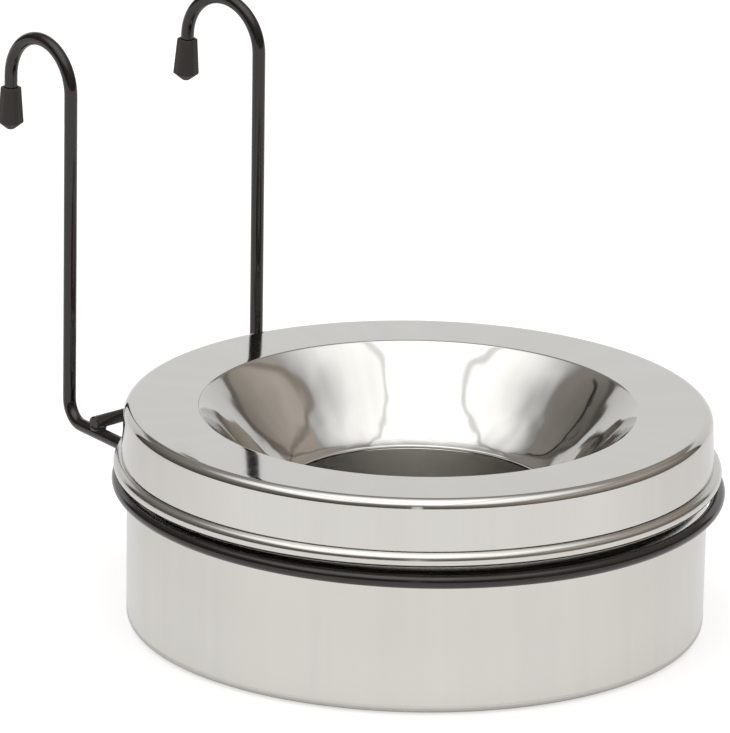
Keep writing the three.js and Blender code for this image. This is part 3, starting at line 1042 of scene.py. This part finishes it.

floor_material, floor_tree, floor_shader = new_material("floor_white")
floor_shader.inputs["Base Color"].default_value = linear("#cecdcc")
floor_shader.inputs["Roughness"].default_value = 0.9
floor_shader.inputs["Emission Color"].default_value = linear("#ffffff")
light_path = add_node(floor_tree, "ShaderNodeLightPath")
spot = add_node(floor_tree, "ShaderNodeTexCoord")["Object"]
depth = add_node(
    floor_tree, "ShaderNodeVectorMath", "DOT_PRODUCT", {0: spot, 1: level_away}
)["Value"]
# Painted light: the floor that a mirror sees dims towards the backdrop
dimming = add_node(
    floor_tree,
    "ShaderNodeMapRange",
    values={
        "Value": depth,
        "From Min": DIM_FROM,
        "From Max": DIM_TO,
        "To Min": MIRRORED_FRONT,
        "To Max": MIRRORED_BACK,
    },
)["Result"]
from_axis = add_node(floor_tree, "ShaderNodeVectorMath", "LENGTH", {0: spot})["Value"]
outwards = add_node(
    floor_tree,
    "ShaderNodeMapRange",
    values={"Value": from_axis, "From Min": FOOT_FROM, "From Max": FOOT_TO},
)["Result"]
# Painted shadow: the mirrored floor turns dark right under the bowl's edge
painted_foot_shadow = add_node(
    floor_tree,
    "ShaderNodeValToRGB",
    values={"Fac": outwards},
    stops=[(place, (level, level, level, 1)) for place, level in FOOT_SHADOW_STOPS],
)["Color"]
painted_mirror_light = add_node(floor_tree, "ShaderNodeMath", "MULTIPLY", {0: dimming, 1: painted_foot_shadow})[0]
mirrored = add_node(
    floor_tree, "ShaderNodeMath", "MULTIPLY", {0: light_path["Is Glossy Ray"], 1: painted_mirror_light}
)[0]
lifted = add_node(
    floor_tree,
    "ShaderNodeMath",
    "MULTIPLY_ADD",
    {0: light_path["Is Camera Ray"], 1: FLOOR_LIFT, 2: mirrored},
)[0]
floor_tree.links.new(lifted, floor_shader.inputs["Emission Strength"])
print("floor material with", len(floor_tree.nodes), "nodes")

# %% Floor
FLOOR_RADIUS = 4  # metres
FLOOR_DROP = 0.3 * MM  # keeps the floor clear of the base

floor_shape = bmesh.new()
bmesh.ops.create_circle(floor_shape, cap_ends=True, segments=96, radius=FLOOR_RADIUS)
floor_mesh = bpy.data.meshes.new("floor")
floor_shape.to_mesh(floor_mesh)
floor_shape.free()
floor_mesh.transform(Matrix.Translation((0, 0, -FLOOR_DROP)))
floor_mesh.materials.append(floor_material)
floor = in_scene("floor", floor_mesh)
print("floor", 2 * FLOOR_RADIUS, "m across")

# %% [markdown]
# ## Light
#
# The studio is a white backdrop, a darker room above and beside it, and a broad diffuser overhead
# that reaches towards the camera. Polished steel shows all of it: the flat top mirrors the
# backdrop, the back of the funnel mirrors the diffuser, and the sides of the funnel mirror the
# darker room between. Two seams of the diffuser are the soft grey stripes in the funnel. All of it
# is far away, so it is painted on the world by direction, and the camera itself sees plain white.
#
# First each direction becomes a place on the flat diffuser, one on the upright backdrop, and an
# angle up.

# %% Directions in the studio
NEAR_ZERO = 0.04  # a division stops growing here

world = bpy.data.worlds.new("studio")
bpy.context.scene.world = world
world.use_nodes = True
sky = world.node_tree
direction = add_node(sky, "ShaderNodeTexCoord")["Generated"]
height = add_node(sky, "ShaderNodeSeparateXYZ", values={"Vector": direction})["Z"]
sideways = add_node(
    sky, "ShaderNodeVectorMath", "DOT_PRODUCT", {0: direction, 1: level_right}
)["Value"]
nearness = add_node(
    sky, "ShaderNodeVectorMath", "DOT_PRODUCT", {0: direction, 1: -level_away}
)["Value"]
# On the diffuser, in shares of its height over the bowl
above = add_node(sky, "ShaderNodeMath", "MAXIMUM", {0: height, 1: NEAR_ZERO})[0]
across = add_node(sky, "ShaderNodeMath", "DIVIDE", {0: sideways, 1: above})[0]
towards_camera = add_node(sky, "ShaderNodeMath", "DIVIDE", {0: nearness, 1: above})[0]
# On the backdrop, in shares of its distance behind the bowl, the same to the left and right
behind = add_node(sky, "ShaderNodeMath", "MULTIPLY", {0: nearness, 1: -1})[0]
distance_back = add_node(sky, "ShaderNodeMath", "MAXIMUM", {0: behind, 1: NEAR_ZERO})[0]
off_centre = add_node(sky, "ShaderNodeMath", "ABSOLUTE", {0: sideways})[0]
along_backdrop = add_node(sky, "ShaderNodeMath", "DIVIDE", {0: off_centre, 1: distance_back})[0]
# Above the horizon
angle_up = add_node(sky, "ShaderNodeMath", "ARCSINE", {0: height})[0]
degrees_up = add_node(sky, "ShaderNodeMath", "MULTIPLY", {0: angle_up, 1: 180 / math.pi})[0]
print("directions take", len(sky.nodes), "nodes")

# %% [markdown]
# ## Levels of light
#
# Each surface of the studio is painted by two ramps, one for each way across it, and their product
# is its light. A ramp holds values up to 1, so levels are kept as shares of the brightest one, and
# the last step scales them back. A ramp that only dims another leaves it alone at a level of 2.

# %% Levels of light
BRIGHTEST = 2.0
# Each row is a place, its level and, where the light is not white, how warm it is
DIFFUSER_ACROSS = [  # from left to right, with a seam near -0.4 and one near 0.27
    (-1.3, 0.0), (-1.16, 0.42), (-1.0, 0.88), (-0.87, 1.25), (-0.72, 1.5), (-0.55, 1.7),
    (-0.44, 1.7), (-0.425, 1.0), (-0.39, 1.05), (-0.36, 1.9), (0.235, 1.9), (0.255, 1.1),
    (0.285, 1.05), (0.31, 1.6), (0.43, 1.5), (0.57, 1.4), (0.7, 1.12), (0.86, 0.78),
    (0.94, 0.6), (1.05, 0.0),
]
DIFFUSER_DEPTH = [  # from behind the bowl towards the camera
    (-1.0, 0.3), (-0.6, 0.5), (-0.3, 1.3), (-0.15, 1.7), (0.05, 2.0), (0.62, 2.0), (0.85, 1.7),
    (1.2, 0.8), (1.6, 0.0),
]
BACKDROP = [(0, 0.845), (0.45, 0.8), (0.75, 0.74), (0.86, 0.66), (0.89, 0.0)]
BACKDROP_HEIGHT = [(0, 2.0), (24, 2.0), (28, 0.0)]
ROOM_ACROSS = [
    (-1, 0.27, 0.08), (-0.4, 0.28, 0.08), (0.3, 0.35, 0.1), (0.62, 0.43, 0.12), (0.75, 0.52, 0.1),
    (1, 0.48, 0.1),
]
ROOM_HEIGHT = [(0, 0.65), (12, 0.75), (22, 1.2), (29, 1.5), (38, 2.0)]
DARK_EDGES = [(0.87, 2.0), (0.9, 1.1), (0.97, 1.2), (1.02, 2.0)]  # beside the backdrop
DARK_CORNER = [(0.93, 2.0), (0.98, 1.2), (1.03, 1.2), (1.1, 2.0)]  # right of the diffuser
DIFFUSER_SPAN = (-2, 2)  # the places that a ramp's two ends stand for
BACKDROP_SPAN = (0, 2)
ROOM_SPAN = (-1, 1)
DEGREES_SPAN = (0, 90)


def grey(level, warmth=0.0):
    """A ramp's colour for a level of light, with more red and less blue when it is warm."""
    share = level / BRIGHTEST
    return (share * (1 + warmth), share, share * (1 - warmth), 1)


def level_ramp(place, levels, span):
    """Levels of light against a place, between the two ends of a span."""
    low, high = span
    factor = add_node(
        sky, "ShaderNodeMapRange", values={"Value": place, "From Min": low, "From Max": high}
    )["Result"]
    stops = [((at - low) / (high - low), grey(*level)) for at, *level in levels]
    return add_node(sky, "ShaderNodeValToRGB", values={"Fac": factor}, stops=stops)["Color"]


def painted(first, second):
    """A surface of the studio from two ramps, each given as place, levels and span."""
    return add_node(
        sky, "ShaderNodeVectorMath", "MULTIPLY", {0: level_ramp(*first), 1: level_ramp(*second)}
    )[0]


# %% Studio light
diffuser = painted(
    (across, DIFFUSER_ACROSS, DIFFUSER_SPAN), (towards_camera, DIFFUSER_DEPTH, DIFFUSER_SPAN)
)
backdrop = painted(
    (along_backdrop, BACKDROP, BACKDROP_SPAN), (degrees_up, BACKDROP_HEIGHT, DEGREES_SPAN)
)
room = painted((sideways, ROOM_ACROSS, ROOM_SPAN), (degrees_up, ROOM_HEIGHT, DEGREES_SPAN))
edges = painted((along_backdrop, DARK_EDGES, BACKDROP_SPAN), (across, DARK_CORNER, DIFFUSER_SPAN))
around_bowl = add_node(sky, "ShaderNodeVectorMath", "MAXIMUM", {0: diffuser, 1: room})[0]
with_edges = add_node(sky, "ShaderNodeVectorMath", "MULTIPLY", {0: around_bowl, 1: edges})[0]
lit = add_node(sky, "ShaderNodeVectorMath", "MAXIMUM", {0: with_edges, 1: backdrop})[0]
studio = add_node(sky, "ShaderNodeVectorMath", "SCALE", {0: lit, "Scale": BRIGHTEST})[0]
seen_by_camera = add_node(sky, "ShaderNodeLightPath")["Is Camera Ray"]
shown = add_node(
    sky, "ShaderNodeMix", {"data_type": "RGBA"}, {0: seen_by_camera, 6: studio, 7: (1, 1, 1, 1)}
)[2]
background = sky.nodes["Background"]
sky.links.new(shown, background.inputs["Color"])
background.inputs["Strength"].default_value = 1.0
print("studio painted with", len(sky.nodes), "nodes")
